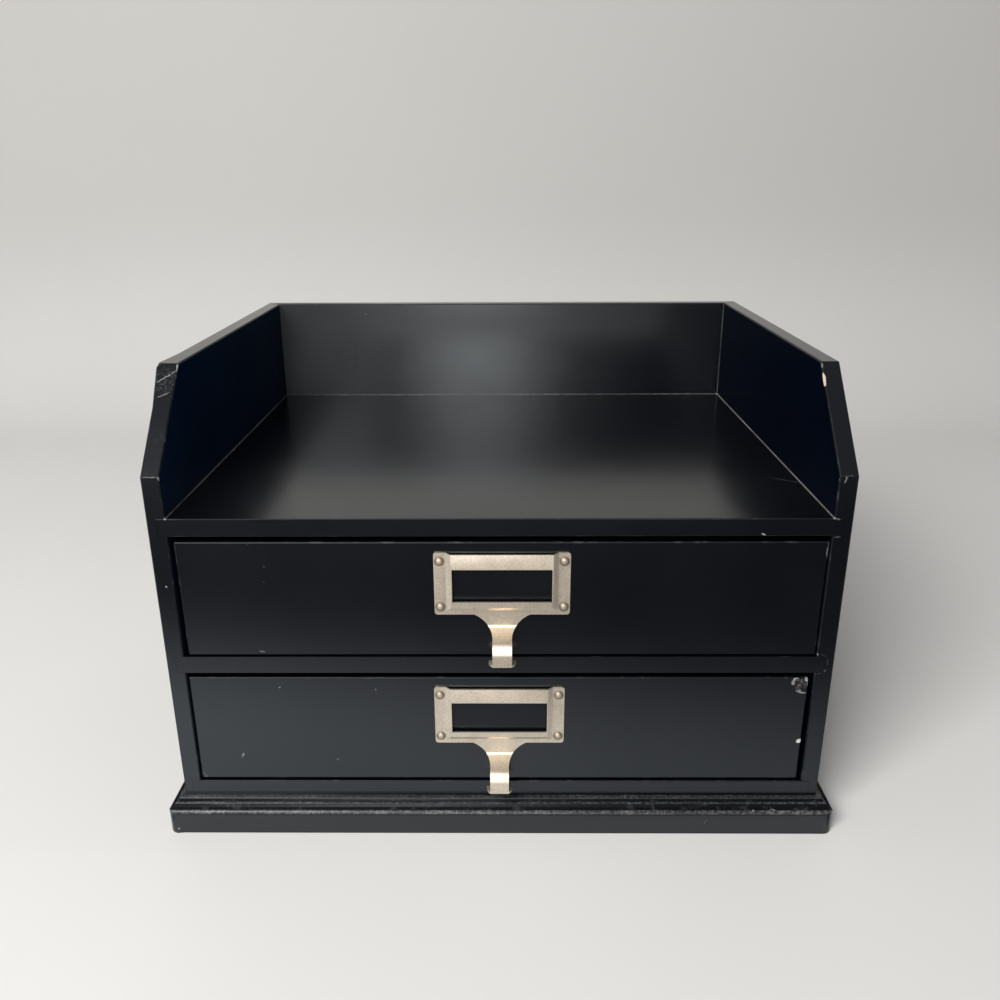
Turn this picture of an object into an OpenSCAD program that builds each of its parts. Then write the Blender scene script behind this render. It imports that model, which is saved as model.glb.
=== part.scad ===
// Desk organiser: an open tray over two inset drawers, on a moulded base board.
// The origin is the bottom centre of the whole part, with +X to the viewer's right, +Y to the
// back and +Z up. Lengths are in millimetres.

/* [Case] */
// Outside width across the two side panels
case_w = 330; // [280:1:420]
// Depth from the boards' front edges to the back face
case_d = 260; // [220:1:340]
// Thickness of each side panel
side_t = 9; // [8:0.5:15]
// Thickness of the tray floor
shelf_t = 9; // [8:0.5:15]
// Thickness of the divider between the drawers
divider_t = 9; // [8:0.5:15]
// Thickness of the panel under the lower drawer
bottom_t = 9; // [8:0.5:15]
// Thickness of the back panel
back_t = 9; // [8:0.5:15]
// Clear height of the upper drawer's opening
upper_opening_h = 64; // [58:1:100]
// Clear height of the lower drawer's opening
lower_opening_h = 64; // [58:1:100]
// Depth of the housings in the side panels
housing_d = 4.5; // [3:0.5:6]
// Corner rounding of the divider's housed ends
divider_end_r = 2.5; // [1:0.5:3.5]

/* [Tray] */
// Height of the tray's walls above its floor
tray_wall_h = 65; // [45:1:120]
// Height of the walls' upright front edge above the floor
tray_lip_h = 20.5; // [5:0.5:40]
// Distance that the walls' slanted edge runs back
slant_run = 42.5; // [10:0.5:120]

/* [Base] */
// Height of the base board
base_h = 18; // [14:0.5:25]
// Distance that the base stands out past the case
base_overhang = 8; // [7:0.5:12]
// Run of the moulding's top step
top_step_run = 2.5; // [1:0.1:3]
// Drop of the moulding's top step
top_step_drop = 1.6; // [1:0.1:3]
// Rounding of the top step's edge
top_step_r = 0.7; // [0.3:0.1:0.9]
// Run of the moulding's middle step
mid_step_run = 2.2; // [1.5:0.1:2.5]
// Drop of the moulding's middle step
mid_step_drop = 2.4; // [1.6:0.1:4]
// Rounding of the middle step's edge
mid_step_r = 1.4; // [0.5:0.1:1.4]
// Radius of the moulding's nose
nose_r = 2.5; // [1:0.1:4]
// Plan rounding of the base's front corners
base_corner_r = 5; // [1:0.5:10]

/* [Drawers] */
// Mean gap at each side of a drawer
drawer_gap = 1.2; // [0.8:0.1:2.5]
// Gap at the side to which a drawer has drifted
drawer_near_gap = 0.4; // [0.3:0.1:0.8]
// Gap over a drawer front
front_gap_top = 2.2; // [1:0.1:4]
// Gap under a drawer front
front_gap_bottom = 0.8; // [0.5:0.1:2]
// Distance that the drawer fronts sit back from the case's front
front_recess = 1; // [0:0.1:3]
// Thickness of a drawer front
front_t = 9; // [8:0.5:15]
// Thickness of the lip left at a drawer front's end rabbets
front_lip_t = 4; // [3:0.5:5]
// Thickness of a drawer's sides
drawer_side_t = 8; // [7:0.5:12]
// Thickness of a drawer's back
drawer_back_t = 8; // [7:0.5:12]
// Height of a drawer's sides and back
drawer_box_h = 54; // [40:1:56]
// Thickness of a drawer's floor
drawer_floor_t = 3; // [2.5:0.5:6]
// Height of the floor's groove above the sides' lower edges
floor_lift = 5; // [3:0.5:10]
// Depth of the floor's grooves
floor_groove_d = 4; // [2:0.5:5]

/* [Pulls] */
// Width of a pull's card frame
pull_w = 65.3; // [55:0.1:90]
// Height of a pull's card frame
frame_h = 32.5; // [28:0.1:36]
// Thickness of the pulls' sheet metal
sheet_t = 1; // [0.7:0.1:1.5]
// Depth of the card slot behind the raised middle
slot_d = 1.8; // [1:0.1:3]
// Width of the flat flange at each side
flange_w = 5.7; // [5:0.1:8]
// Width of the slope between a flange and the raised middle
slope_w = 2.5; // [1.5:0.1:5]
// Height of the flat foot under the raised middle
foot_h = 2.2; // [1:0.1:3]
// Height of the slope over the flat foot
foot_slope_h = 2.2; // [1:0.1:2.6]
// Width of the raised strip at each side of the window
window_side_w = 0.5; // [0.3:0.1:3]
// Height of the bar over the window
top_bar_h = 8.2; // [5:0.1:10]
// Height of the bar under the window, from the frame's lower edge
bottom_bar_h = 7.3; // [6.5:0.1:10]
// Rounding of the frame's corners
frame_corner_r = 1.5; // [0.5:0.1:2.5]
// Width of the finger stem
stem_w = 9.4; // [6:0.1:16]
// Distance that the flare widens the stem at the frame, on each side
flare_w = 8.9; // [5:0.1:14]
// Distance that the flare runs along the stem's slope
flare_slope_len = 6.4; // [3:0.1:7]
// Length of the stem's flat stretch under the frame
stem_flat_h = 5.3; // [3:0.1:8]
// Front radius of the bend where the stem leaves the drawer
inner_bend_r = 2; // [1:0.1:4]
// Back radius of the bend at the finger lip
outer_bend_r = 5.2; // [3:0.1:6]
// Angle of the stem's slope from upright
stem_angle = 65; // [50:1:75]
// Distance from the drawer's face to the front of the finger lip
pull_reach = 13.3; // [12:0.1:18]
// Height of the finger lip's upright stretch
finger_lip_h = 5.7; // [4:0.1:8]
// Distance that the tab under the finger lip runs back
tab_depth = 6; // [5:0.1:8]
// Distance that the tab stands out past the stem on each side
tab_side = 1.9; // [1:0.1:3]
// Length of the tab's round front corners
tab_round = 3.6; // [2:0.1:4.5]
// Distance from a drawer front's upper edge to its pull
pull_drop = 6; // [3:0.1:6.5]
// Distance that a pull sits right of its drawer's middle
pull_shift = 0.7; // [-2:0.1:2]

/* [Pull pins] */
// Diameter of a pin's round head
pin_head_d = 4.2; // [3:0.1:4.8]
// Height of a pin's round head
pin_head_h = 1.1; // [0.7:0.1:1.6]
// Diameter of a pin's shank
pin_d = 1.4; // [1:0.1:2]
// Length of a pin's shank
pin_len = 7; // [5:0.5:8]
// Distance from the frame's upper edge to the upper pins
pin_top = 4.5; // [3:0.1:7]
// Distance from the frame's lower edge to the lower pins
pin_bottom = 4.1; // [3:0.1:7]

/* [Screws and brads] */
// Diameter of a base screw's shank
screw_d = 3.5; // [3:0.1:4]
// Diameter of a base screw's head
screw_head_d = 7; // [6:0.1:8]
// Depth of a base screw's head above the underside
screw_sink = 0.4; // [0.2:0.1:1]
// Depth of a base screw's cross recess
screw_recess_d = 1.4; // [0.8:0.1:1.6]
// Distance that a base screw bites into the bottom panel
screw_bite = 6.5; // [4:0.5:7]
// Distance from the base screws to the bottom panel's edges
screw_inset = 35; // [30:1:60]
// Diameter of a brad
brad_d = 1.2; // [1:0.1:1.6]
// Length of a case brad
case_brad_len = 22; // [18:1:30]
// Length of a drawer brad
drawer_brad_len = 18; // [15:1:25]
// Depth of the filler over each brad
brad_cover = 1.5; // [1:0.1:2]
// Distance from the side brads to the boards' front and back edges
side_brad_inset = 25; // [18:1:32]
// Distance from the back brads to the boards' ends
back_brad_inset = 45; // [40:1:70]
// Distance from the drawer brads to the floor's groove and the sides' upper edges
drawer_brad_inset = 8; // [5:0.5:12]

/* [Clearances] */
// Gap round a board's end in its housing
housing_fit = 0.1; // [0:0.05:0.3]
// Gap round a drawer's floor in its grooves
floor_fit = 0.15; // [0.05:0.05:0.4]
// Gap under a drawer's sides
run_gap = 0.2; // [0.1:0.05:0.4]
// Gap between a closed drawer and the back panel
stop_gap = 0.5; // [0.3:0.1:2]
// Gap round each pin, brad and screw
pin_fit = 0.05; // [0.02:0.01:0.1]

/* [Hidden] */
$fn = 64;
// Overrun that carries a cut past the face it opens
cut = 1;
// Steps along each bend of a stem and each flare
bend_steps = 12;

paint = "#17191c";
hardboard = "#2a2522";
nickel = "#b6a995";
steel = "#8c8d90";

// Widths and depths of the case
inner_w = case_w - 2 * side_t;
housed_w = inner_w + 2 * (housing_d - housing_fit);
front_reach = max(base_overhang, pull_reach - front_recess);
front_y = -(case_d - front_reach) / 2;
back_y = front_y + case_d;
back_face_y = back_y - back_t;
board_d = back_face_y - front_y;

// Levels of the case, from the base up
case_z = base_h;
lower_z = case_z + bottom_t;
divider_z = lower_z + lower_opening_h;
upper_z = divider_z + divider_t;
shelf_z = upper_z + upper_opening_h;
tray_z = shelf_z + shelf_t;
lip_z = tray_z + tray_lip_h;
top_z = tray_z + tray_wall_h;

// Edges and levels of the base's moulding
top_step_edge = top_step_run;
mid_step_edge = top_step_edge + mid_step_run;
mid_step_z = base_h - top_step_drop;
nose_z = mid_step_z - mid_step_drop;

// Length of a base screw
screw_len = base_h + screw_bite - screw_sink;

// Sizes of a drawer, whose own frame has y = 0 on its face and z = 0 on its opening's floor
drawer_w = inner_w - 2 * drawer_gap;
drawer_inner_w = drawer_w - 2 * drawer_side_t;
drawer_d = case_d - back_t - front_recess - stop_gap;
drawer_drift = drawer_gap - drawer_near_gap;
groove_z = run_gap + floor_lift;
floor_hold = floor_groove_d - floor_fit;
function front_h(opening_h) = opening_h - front_gap_top - front_gap_bottom;

// Sizes of a pull, whose own frame has y = 0 on the drawer's face and z = 0 on the frame's lower edge
flange_edge = pull_w / 2 - flange_w;
raised_edge = flange_edge - slope_w;
window_edge = raised_edge - window_side_w;
raised_y = -(sheet_t + slot_d);
bend_sum_r = inner_bend_r + sheet_t + outer_bend_r;
stem_rise = pull_reach - 2 * sheet_t - inner_bend_r - outer_bend_r + bend_sum_r * cos(stem_angle);
stem_slope_len = stem_rise / sin(stem_angle);
lip_bend_z = -(stem_flat_h + bend_sum_r * sin(stem_angle) + stem_slope_len * cos(stem_angle));
tip_z = lip_bend_z - finger_lip_h;
inner_bend_len = inner_bend_r * stem_angle * PI / 180;
flare_len = stem_flat_h + inner_bend_len + flare_slope_len;
pin_head_r = (pow(pin_head_h, 2) + pow(pin_head_d / 2, 2)) / (2 * pin_head_h);
function pull_z(opening_h) = front_gap_bottom + front_h(opening_h) - pull_drop - frame_h;

// Extrudes an outline drawn in Y and Z along X
module along_x(length) {
    rotate([90, 0, 90]) linear_extrude(length) children();
}

// Extrudes an outline drawn in X and Z along Y
module along_y(length) {
    translate([0, length, 0]) rotate([90, 0, 0]) linear_extrude(length) children();
}

// Rectangle with four round corners, from its lower left corner
module round_rect(size, r) {
    translate([r, 0]) square([size.x - 2 * r, size.y]);
    translate([0, r]) square([size.x, size.y - 2 * r]);
    for (x = [r, size.x - r], y = [r, size.y - r]) translate([x, y]) circle(r);
}

// Points along an arc, from one angle to another
function arc(centre, r, from, to) = [
    for (i = [0 : bend_steps])
        let (a = from + (to - from) * i / bend_steps) centre + r * [cos(a), sin(a)]
];

// Radius of an arc that bulges sideways over a length and ends along it
function side_arc_r(bulge, length) = (pow(length, 2) + pow(bulge, 2)) / (2 * bulge);

// Outline closed by its mirror image in the Y axis, from points down the right side
function both_sides(right) = concat(right, [for (i = [len(right) - 1 : -1 : 0]) [-right[i].x, right[i].y]]);

// Pin, brad or bore from z = 0 up, with a taper of its own radius at the tip
module nail(d, length) {
    cylinder(d = d, h = length - d / 2);
    translate([0, 0, length - d / 2]) cylinder(d1 = d, d2 = d / 4, h = d / 2);
}

module nail_hole(d, length) {
    translate([0, 0, -pin_fit]) cylinder(d = d + 2 * pin_fit, h = length + 2 * pin_fit);
}

// Base board: a moulding of two beads and a round nose at the front and sides
module moulding_step(edge, level, r) {
    translate([front_y - edge + r, 0]) square([case_d + edge - r, level]);
    translate([front_y - edge, 0]) square([case_d + edge, level - r]);
    translate([front_y - edge + r, level - r]) circle(r);
}

module side_moulding_step(edge, level, r) {
    w = case_w + 2 * edge;
    translate([-w / 2 + r, 0]) square([w - 2 * r, level]);
    translate([-w / 2, 0]) square([w, level - r]);
    for (s = [-1, 1]) translate([s * (w / 2 - r), level - r]) circle(r);
}

module base_plan() {
    w = case_w + 2 * base_overhang;
    edge_y = front_y - base_overhang;
    translate([-w / 2, edge_y + base_corner_r]) square([w, back_y - edge_y - base_corner_r]);
    translate([-w / 2 + base_corner_r, edge_y]) square([w - 2 * base_corner_r, base_corner_r + cut]);
    for (s = [-1, 1]) {
        translate([s * (w / 2 - base_corner_r), edge_y + base_corner_r]) circle(base_corner_r);
    }
}

module moulded_block() {
    intersection() {
        translate([-case_w / 2 - base_overhang, 0, 0]) along_x(case_w + 2 * base_overhang) {
            moulding_step(top_step_edge, base_h, top_step_r);
            moulding_step(mid_step_edge, mid_step_z, mid_step_r);
            moulding_step(base_overhang, nose_z, nose_r);
        }
        translate([0, front_y - base_overhang, 0]) along_y(case_d + base_overhang) {
            side_moulding_step(top_step_edge, base_h, top_step_r);
            side_moulding_step(mid_step_edge, mid_step_z, mid_step_r);
            side_moulding_step(base_overhang, nose_z, nose_r);
        }
        linear_extrude(base_h) base_plan();
    }
}

module base_board() {
    color(paint) difference() {
        moulded_block();
        at_base_screws() screw_hole();
    }
}

// Screws up through the base into the bottom panel
module at_base_screws() {
    for (s = [-1, 1], y = [front_y + screw_inset, back_face_y - screw_inset]) {
        translate([s * (inner_w / 2 - screw_inset), y, screw_sink]) children();
    }
}

module screw_body(d, head_d, length) {
    cylinder(d1 = head_d, d2 = d, h = (head_d - d) / 2);
    nail(d, length);
}

module screw_hole() {
    head_d = screw_head_d + 2 * pin_fit;
    translate([0, 0, -screw_sink - cut]) cylinder(d = head_d, h = screw_sink + cut);
    screw_body(screw_d + 2 * pin_fit, head_d, screw_len + pin_fit);
}

module base_screws() {
    slot_w = screw_d / 4;
    color(steel) at_base_screws() difference() {
        screw_body(screw_d, screw_head_d, screw_len);
        for (turn = [0, 90]) rotate(turn) {
            translate([-screw_d / 2, -slot_w / 2, -cut]) cube([screw_d, slot_w, screw_recess_d + cut]);
        }
    }
}

// Case boards
module divider_section(grow) {
    r = divider_end_r + grow;
    translate([-housed_w / 2 - grow, divider_z - grow]) {
        round_rect([housed_w + 2 * grow, divider_t + 2 * grow], r);
    }
}

module housed_board(level, thickness) {
    translate([-housed_w / 2, front_y, level]) cube([housed_w, board_d, thickness]);
}

module board_housing(level, thickness) {
    depth = housed_w + 2 * housing_fit;
    translate([-depth / 2, front_y - cut, level - housing_fit]) {
        cube([depth, board_d + cut + housing_fit, thickness + 2 * housing_fit]);
    }
}

module side_panel() {
    rabbet_w = housed_w + 2 * housing_fit;
    color(paint) difference() {
        translate([case_w / 2 - side_t, 0, 0]) along_x(side_t) {
            polygon([
                [front_y, case_z], [back_y, case_z], [back_y, top_z],
                [front_y + slant_run, top_z], [front_y, lip_z]
            ]);
        }
        board_housing(case_z, bottom_t);
        board_housing(shelf_z, shelf_t);
        translate([0, front_y - cut, 0]) along_y(board_d + cut + housing_fit) {
            divider_section(housing_fit);
        }
        translate([-rabbet_w / 2, back_face_y, case_z - cut]) {
            cube([rabbet_w, back_t + cut, top_z - case_z + 2 * cut]);
        }
        at_case_brads() nail_hole(brad_d, case_brad_len);
    }
}

module right_side_panel() {
    side_panel();
}

module left_side_panel() {
    mirror([1, 0, 0]) side_panel();
}

module back_panel() {
    color(paint) difference() {
        translate([-housed_w / 2, back_face_y, case_z]) cube([housed_w, back_t, top_z - case_z]);
        at_case_brads() nail_hole(brad_d, case_brad_len);
    }
}

module bottom_panel() {
    color(paint) difference() {
        housed_board(case_z, bottom_t);
        at_case_brads() nail_hole(brad_d, case_brad_len);
        at_base_screws() screw_hole();
    }
}

module tray_floor() {
    color(paint) difference() {
        housed_board(shelf_z, shelf_t);
        at_case_brads() nail_hole(brad_d, case_brad_len);
    }
}

module divider_panel() {
    color(paint) difference() {
        translate([0, front_y, 0]) along_y(board_d) divider_section(0);
        at_case_brads() nail_hole(brad_d, case_brad_len);
    }
}

// Brads through the sides and the back into the ends and back edges of the three housed boards
module at_case_brads() {
    board_zs = [case_z + bottom_t / 2, divider_z + divider_t / 2, shelf_z + shelf_t / 2];
    side_ys = [front_y + side_brad_inset, (front_y + back_face_y) / 2, back_face_y - side_brad_inset];
    back_x = inner_w / 2 - back_brad_inset;
    for (z = board_zs) {
        for (s = [-1, 1], y = side_ys) {
            translate([s * (case_w / 2 - brad_cover), y, z]) rotate([0, -90 * s, 0]) children();
        }
        for (x = [-back_x, 0, back_x]) {
            translate([x, back_y - brad_cover, z]) rotate([90, 0, 0]) children();
        }
    }
}

module case_brads() {
    color(steel) at_case_brads() nail(brad_d, case_brad_len);
}

// Drawers, each drawn in its own frame and set in its opening
module in_upper_opening() {
    translate([drawer_drift, front_y + front_recess, upper_z]) children();
}

module in_lower_opening() {
    translate([-drawer_drift, front_y + front_recess, lower_z]) children();
}

module drawer_front(opening_h) {
    color(paint) difference() {
        translate([-drawer_w / 2, 0, front_gap_bottom]) cube([drawer_w, front_t, front_h(opening_h)]);
        for (s = [-1, 1]) {
            translate([s * drawer_w / 2 - drawer_side_t, front_lip_t, 0]) {
                cube([2 * drawer_side_t, front_t, opening_h]);
            }
        }
        drawer_floor_space();
        at_drawer_brads() nail_hole(brad_d, drawer_brad_len);
        at_pull_pins(opening_h) nail_hole(pin_d, pin_len);
    }
}

module drawer_side() {
    color(paint) difference() {
        translate([drawer_w / 2 - drawer_side_t, front_lip_t, run_gap]) {
            cube([drawer_side_t, drawer_d - front_lip_t, drawer_box_h]);
        }
        translate([0, front_lip_t - cut, groove_z - floor_fit]) {
            cube([drawer_inner_w / 2 + floor_groove_d, drawer_d + cut, drawer_floor_t + 2 * floor_fit]);
        }
        at_drawer_brads() nail_hole(brad_d, drawer_brad_len);
    }
}

module drawer_right_side() {
    drawer_side();
}

module drawer_left_side() {
    mirror([1, 0, 0]) drawer_side();
}

module drawer_back() {
    color(paint) difference() {
        translate([-drawer_inner_w / 2, drawer_d - drawer_back_t, run_gap]) {
            cube([drawer_inner_w, drawer_back_t, drawer_box_h]);
        }
        drawer_floor_space();
        at_drawer_brads() nail_hole(brad_d, drawer_brad_len);
    }
}

module floor_block(hold, gap) {
    w = drawer_inner_w + 2 * hold;
    depth = drawer_d - front_t - drawer_back_t + 2 * hold;
    translate([-w / 2, front_t - hold, groove_z - gap]) cube([w, depth, drawer_floor_t + 2 * gap]);
}

module drawer_floor_space() {
    floor_block(floor_groove_d, floor_fit);
}

module drawer_floor() {
    color(hardboard) floor_block(floor_hold, 0);
}

// Brads through the drawer's sides into the ends of its front and back
module at_drawer_brads() {
    front_brad_y = (front_lip_t + front_t) / 2;
    back_brad_y = drawer_d - drawer_back_t / 2;
    low_z = groove_z + drawer_floor_t + drawer_brad_inset;
    high_z = run_gap + drawer_box_h - drawer_brad_inset;
    for (s = [-1, 1], y = [front_brad_y, back_brad_y], z = [low_z, high_z]) {
        translate([s * (drawer_w / 2 - brad_cover), y, z]) rotate([0, -90 * s, 0]) children();
    }
}

module drawer_brads() {
    color(steel) at_drawer_brads() nail(brad_d, drawer_brad_len);
}

// Pulls: a stamped card frame, raised between its flanges, whose stem hooks out to a finger lip
module frame_plan(t) {
    polygon([
        [-pull_w / 2, 0], [-pull_w / 2, -t], [-flange_edge, -t], [-raised_edge, -t - slot_d],
        [raised_edge, -t - slot_d], [flange_edge, -t], [pull_w / 2, -t], [pull_w / 2, 0]
    ]);
}

module frame_profile(t) {
    polygon([
        [0, 0], [-t, 0], [-t, foot_h], [-t - slot_d, foot_h + foot_slope_h],
        [-t - slot_d, frame_h], [0, frame_h]
    ]);
}

module card_slot() {
    slot_top = frame_h + cut;
    intersection() {
        linear_extrude(slot_top) polygon([
            [-flange_edge, 0], [-raised_edge, -slot_d], [raised_edge, -slot_d], [flange_edge, 0]
        ]);
        translate([-pull_w / 2, 0, 0]) along_x(pull_w) polygon([
            [0, foot_h], [-slot_d, foot_h + foot_slope_h], [-slot_d, slot_top], [0, slot_top]
        ]);
    }
}

module raised_frame() {
    difference() {
        intersection() {
            linear_extrude(frame_h) frame_plan(sheet_t);
            translate([-pull_w / 2, 0, 0]) along_x(pull_w) frame_profile(sheet_t);
        }
        card_slot();
        translate([-window_edge, raised_y - cut, bottom_bar_h]) {
            cube([2 * window_edge, sheet_t + slot_d + cut, frame_h - top_bar_h - bottom_bar_h]);
        }
    }
}

module stem_profile() {
    inner_bend = [-(sheet_t + inner_bend_r), -stem_flat_h];
    outer_bend = [-(pull_reach - sheet_t - outer_bend_r), lip_bend_z];
    lip_back = -pull_reach + sheet_t;
    front = concat(
        [[-sheet_t, foot_h / 2]],
        arc(inner_bend, inner_bend_r, 0, -stem_angle),
        arc(outer_bend, outer_bend_r + sheet_t, 180 - stem_angle, 180),
        arc([lip_back, tip_z + sheet_t], sheet_t, 180, 270),
        [[lip_back + sheet_t, tip_z]]
    );
    back = concat(
        [[lip_back + sheet_t, tip_z + sheet_t], [lip_back, tip_z + sheet_t]],
        arc(outer_bend, outer_bend_r, 180, 180 - stem_angle),
        arc(inner_bend, inner_bend_r + sheet_t, -stem_angle, 0),
        [[0, foot_h / 2]]
    );
    polygon(concat(front, back));
}

// Half width of the flare at a distance along the sheet from the frame
function flare_half_w(along) =
    let (r = side_arc_r(flare_w, flare_len))
    stem_w / 2 + r - sqrt(pow(r, 2) - pow(flare_len - along, 2));

// Level of the sheet's front at that distance: down the flat, round the bend or along the slope
function sheet_level(along) =
    along < stem_flat_h ? -along
    : along < stem_flat_h + inner_bend_len
        ? -stem_flat_h - inner_bend_r * sin((along - stem_flat_h) / inner_bend_len * stem_angle)
    : -stem_flat_h - inner_bend_r * sin(stem_angle)
        - (along - stem_flat_h - inner_bend_len) * cos(stem_angle);

module pull_outline() {
    flare = [
        for (i = [0 : 2 * bend_steps])
            let (along = flare_len * i / (2 * bend_steps)) [flare_half_w(along), sheet_level(along)]
    ];
    translate([-pull_w / 2, 0]) round_rect([pull_w, frame_h], frame_corner_r);
    polygon(both_sides(concat([[flare[0].x, foot_h / 2]], flare, [[stem_w / 2, tip_z - cut]])));
}

// Tab turned back under the finger lip, rounded out past the stem
module lip_tab() {
    r = side_arc_r(tab_side, tab_round);
    edge = stem_w / 2 + tab_side;
    corner = arc([edge - r, tab_round], r, -asin(tab_round / r), 0);
    translate([0, -pull_reach + sheet_t, tip_z]) linear_extrude(sheet_t) {
        polygon(both_sides(concat(corner, [[edge, tab_depth - sheet_t]])));
    }
}

module pull(opening_h) {
    color(nickel) difference() {
        translate([pull_shift, 0, pull_z(opening_h)]) {
            intersection() {
                union() {
                    raised_frame();
                    translate([-pull_w / 2, 0, 0]) along_x(pull_w) stem_profile();
                }
                translate([0, -pull_reach - cut, 0]) along_y(pull_reach + 2 * cut) pull_outline();
            }
            lip_tab();
        }
        at_pull_pins(opening_h) nail_hole(pin_d, pin_len);
    }
}

// Round-head pins through the flanges into the drawer front
module at_pull_pins(opening_h) {
    for (s = [-1, 1], z = [pin_bottom, frame_h - pin_top]) {
        translate([pull_shift + s * (pull_w - flange_w) / 2, -sheet_t, pull_z(opening_h) + z]) {
            rotate([-90, 0, 0]) children();
        }
    }
}

module round_head() {
    intersection() {
        translate([0, 0, pin_head_r - pin_head_h]) sphere(pin_head_r);
        translate([0, 0, -pin_head_h]) cylinder(d = 2 * pin_head_d, h = pin_head_h);
    }
}

module pull_pins(opening_h) {
    color(nickel) at_pull_pins(opening_h) {
        round_head();
        nail(pin_d, pin_len);
    }
}

base_board();
bottom_panel();
left_side_panel();
right_side_panel();
back_panel();
tray_floor();
divider_panel();
base_screws();
case_brads();

in_upper_opening() drawer_front(upper_opening_h);  // upper_drawer_front
in_upper_opening() drawer_left_side();  // upper_drawer_left_side
in_upper_opening() drawer_right_side();  // upper_drawer_right_side
in_upper_opening() drawer_back();  // upper_drawer_back
in_upper_opening() drawer_floor();  // upper_drawer_floor
in_upper_opening() drawer_brads();  // upper_drawer_brads
in_upper_opening() pull(upper_opening_h);  // upper_pull
in_upper_opening() pull_pins(upper_opening_h);  // upper_pull_pins

in_lower_opening() drawer_front(lower_opening_h);  // lower_drawer_front
in_lower_opening() drawer_left_side();  // lower_drawer_left_side
in_lower_opening() drawer_right_side();  // lower_drawer_right_side
in_lower_opening() drawer_back();  // lower_drawer_back
in_lower_opening() drawer_floor();  // lower_drawer_floor
in_lower_opening() drawer_brads();  // lower_drawer_brads
in_lower_opening() pull(lower_opening_h);  // lower_pull
in_lower_opening() pull_pins(lower_opening_h);  // lower_pull_pins
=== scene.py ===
"""Looks of a black desk organiser: an open tray over two drawers with nickel card-frame pulls."""

import math

import bmesh
import bpy
from mathutils import Matrix, Vector, noise
from mathutils.bvhtree import BVHTree


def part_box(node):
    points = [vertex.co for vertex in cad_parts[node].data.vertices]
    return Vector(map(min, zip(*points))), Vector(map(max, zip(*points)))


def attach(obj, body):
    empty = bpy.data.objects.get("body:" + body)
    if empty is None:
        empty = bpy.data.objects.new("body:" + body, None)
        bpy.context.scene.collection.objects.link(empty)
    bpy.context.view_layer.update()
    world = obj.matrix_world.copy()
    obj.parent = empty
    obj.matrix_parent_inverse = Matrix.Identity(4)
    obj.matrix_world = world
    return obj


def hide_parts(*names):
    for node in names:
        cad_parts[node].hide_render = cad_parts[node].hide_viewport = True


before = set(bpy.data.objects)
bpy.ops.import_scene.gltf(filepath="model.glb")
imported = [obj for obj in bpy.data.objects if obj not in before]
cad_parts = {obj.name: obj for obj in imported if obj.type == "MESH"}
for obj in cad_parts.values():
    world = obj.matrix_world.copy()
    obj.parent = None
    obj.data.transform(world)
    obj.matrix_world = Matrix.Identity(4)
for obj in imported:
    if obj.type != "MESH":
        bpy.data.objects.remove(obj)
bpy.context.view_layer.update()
MM = 0.001

# Boards of the case and of each drawer
CASE_BOARDS = ("base_board", "bottom_panel", "left_side_panel", "right_side_panel",
               "back_panel", "tray_floor", "divider_panel")
DRAWER_BOARDS = ("front", "left_side", "right_side", "back")
# Boards that lie across the case's front, and keep crisper edges
RAILS = ("tray_floor", "divider_panel", "bottom_panel")

# Planes of the tray, the case's front and the base's moulding, from the frame
TRAY_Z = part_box("tray_floor")[1].z
TRAY_BACK_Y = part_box("back_panel")[0].y
TRAY_HALF_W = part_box("right_side_panel")[0].x
CASE_FRONT_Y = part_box("left_side_panel")[0].y
BASE_TOP_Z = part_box("base_board")[1].z
# Planes that the wear below lies on, in millimetres: the fronts of the case, of the drawers and of the
# base, and the tray's floor and back
FRONT = CASE_FRONT_Y / MM
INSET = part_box("upper_drawer_front")[0].y / MM
BASE_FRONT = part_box("base_board")[0].y / MM
TRAY = TRAY_Z / MM
BACK = TRAY_BACK_Y / MM

# Rounding of the boards' free edges, of the rails' edges, of blunt edges, and of the base's nose
EDGE_ROUND = 0.7 * MM
RAIL_ROUND = 0.45 * MM
BLUNT_ROUND = 0.2 * MM
NOSE_ROUND = 2.2 * MM
# Steps of a rounded edge
ROUND_STEPS = 3
# Height of the nose of the base's moulding, and the height from which faces belong to the moulding
NOSE_Z = BASE_TOP_Z - 4.0 * MM
MOULDING_Z = NOSE_Z - 2.4 * MM
# Distance under which an edge counts as lying against another board
JOINT_REACH = 0.3 * MM
# Distance under which two places count as one, and least part of a normal along the way that a face looks
SAME_PLACE = 0.1 * MM
FACING = 0.9
# Distance under which corners are joined, size under which a face is empty, and the turn between faces
# under which they count as one
JOIN_REACH = 0.001 * MM
EMPTY_SIZE = 0.0001 * MM
FLAT_ANGLE = math.radians(0.5)
# Edges turning by less than the first angle are smooth, and by less than the second are blunt
SMOOTH_ANGLE = math.radians(28)
BLUNT_ANGLE = math.radians(60)
# Edges shorter than this belong to bores and small arcs, and keep their form
LEAST_EDGE = 1.5 * MM

# Window of a pull: its half sizes, and its middle's distance from the pull's upper edge
WINDOW_HALF_W = 24.5 * MM
WINDOW_HALF_H = 10.0 * MM
WINDOW_DROP = 16.7 * MM
# Taken off the top of each drawer's front, above which the photograph shows the widest gap
FRONT_TRIM = 0.9 * MM
# Radius of the pulls' pin heads, and the radii between which the pulls darken with painted shade round each
# head, and the heads darken with painted shade towards their rims
PIN_HEAD_R = 2.1 * MM
PULL_SHADE_RING = (2.9 * MM, 2.2 * MM)
PIN_SHADE_RING = (0.9 * MM, 1.6 * MM)

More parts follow.
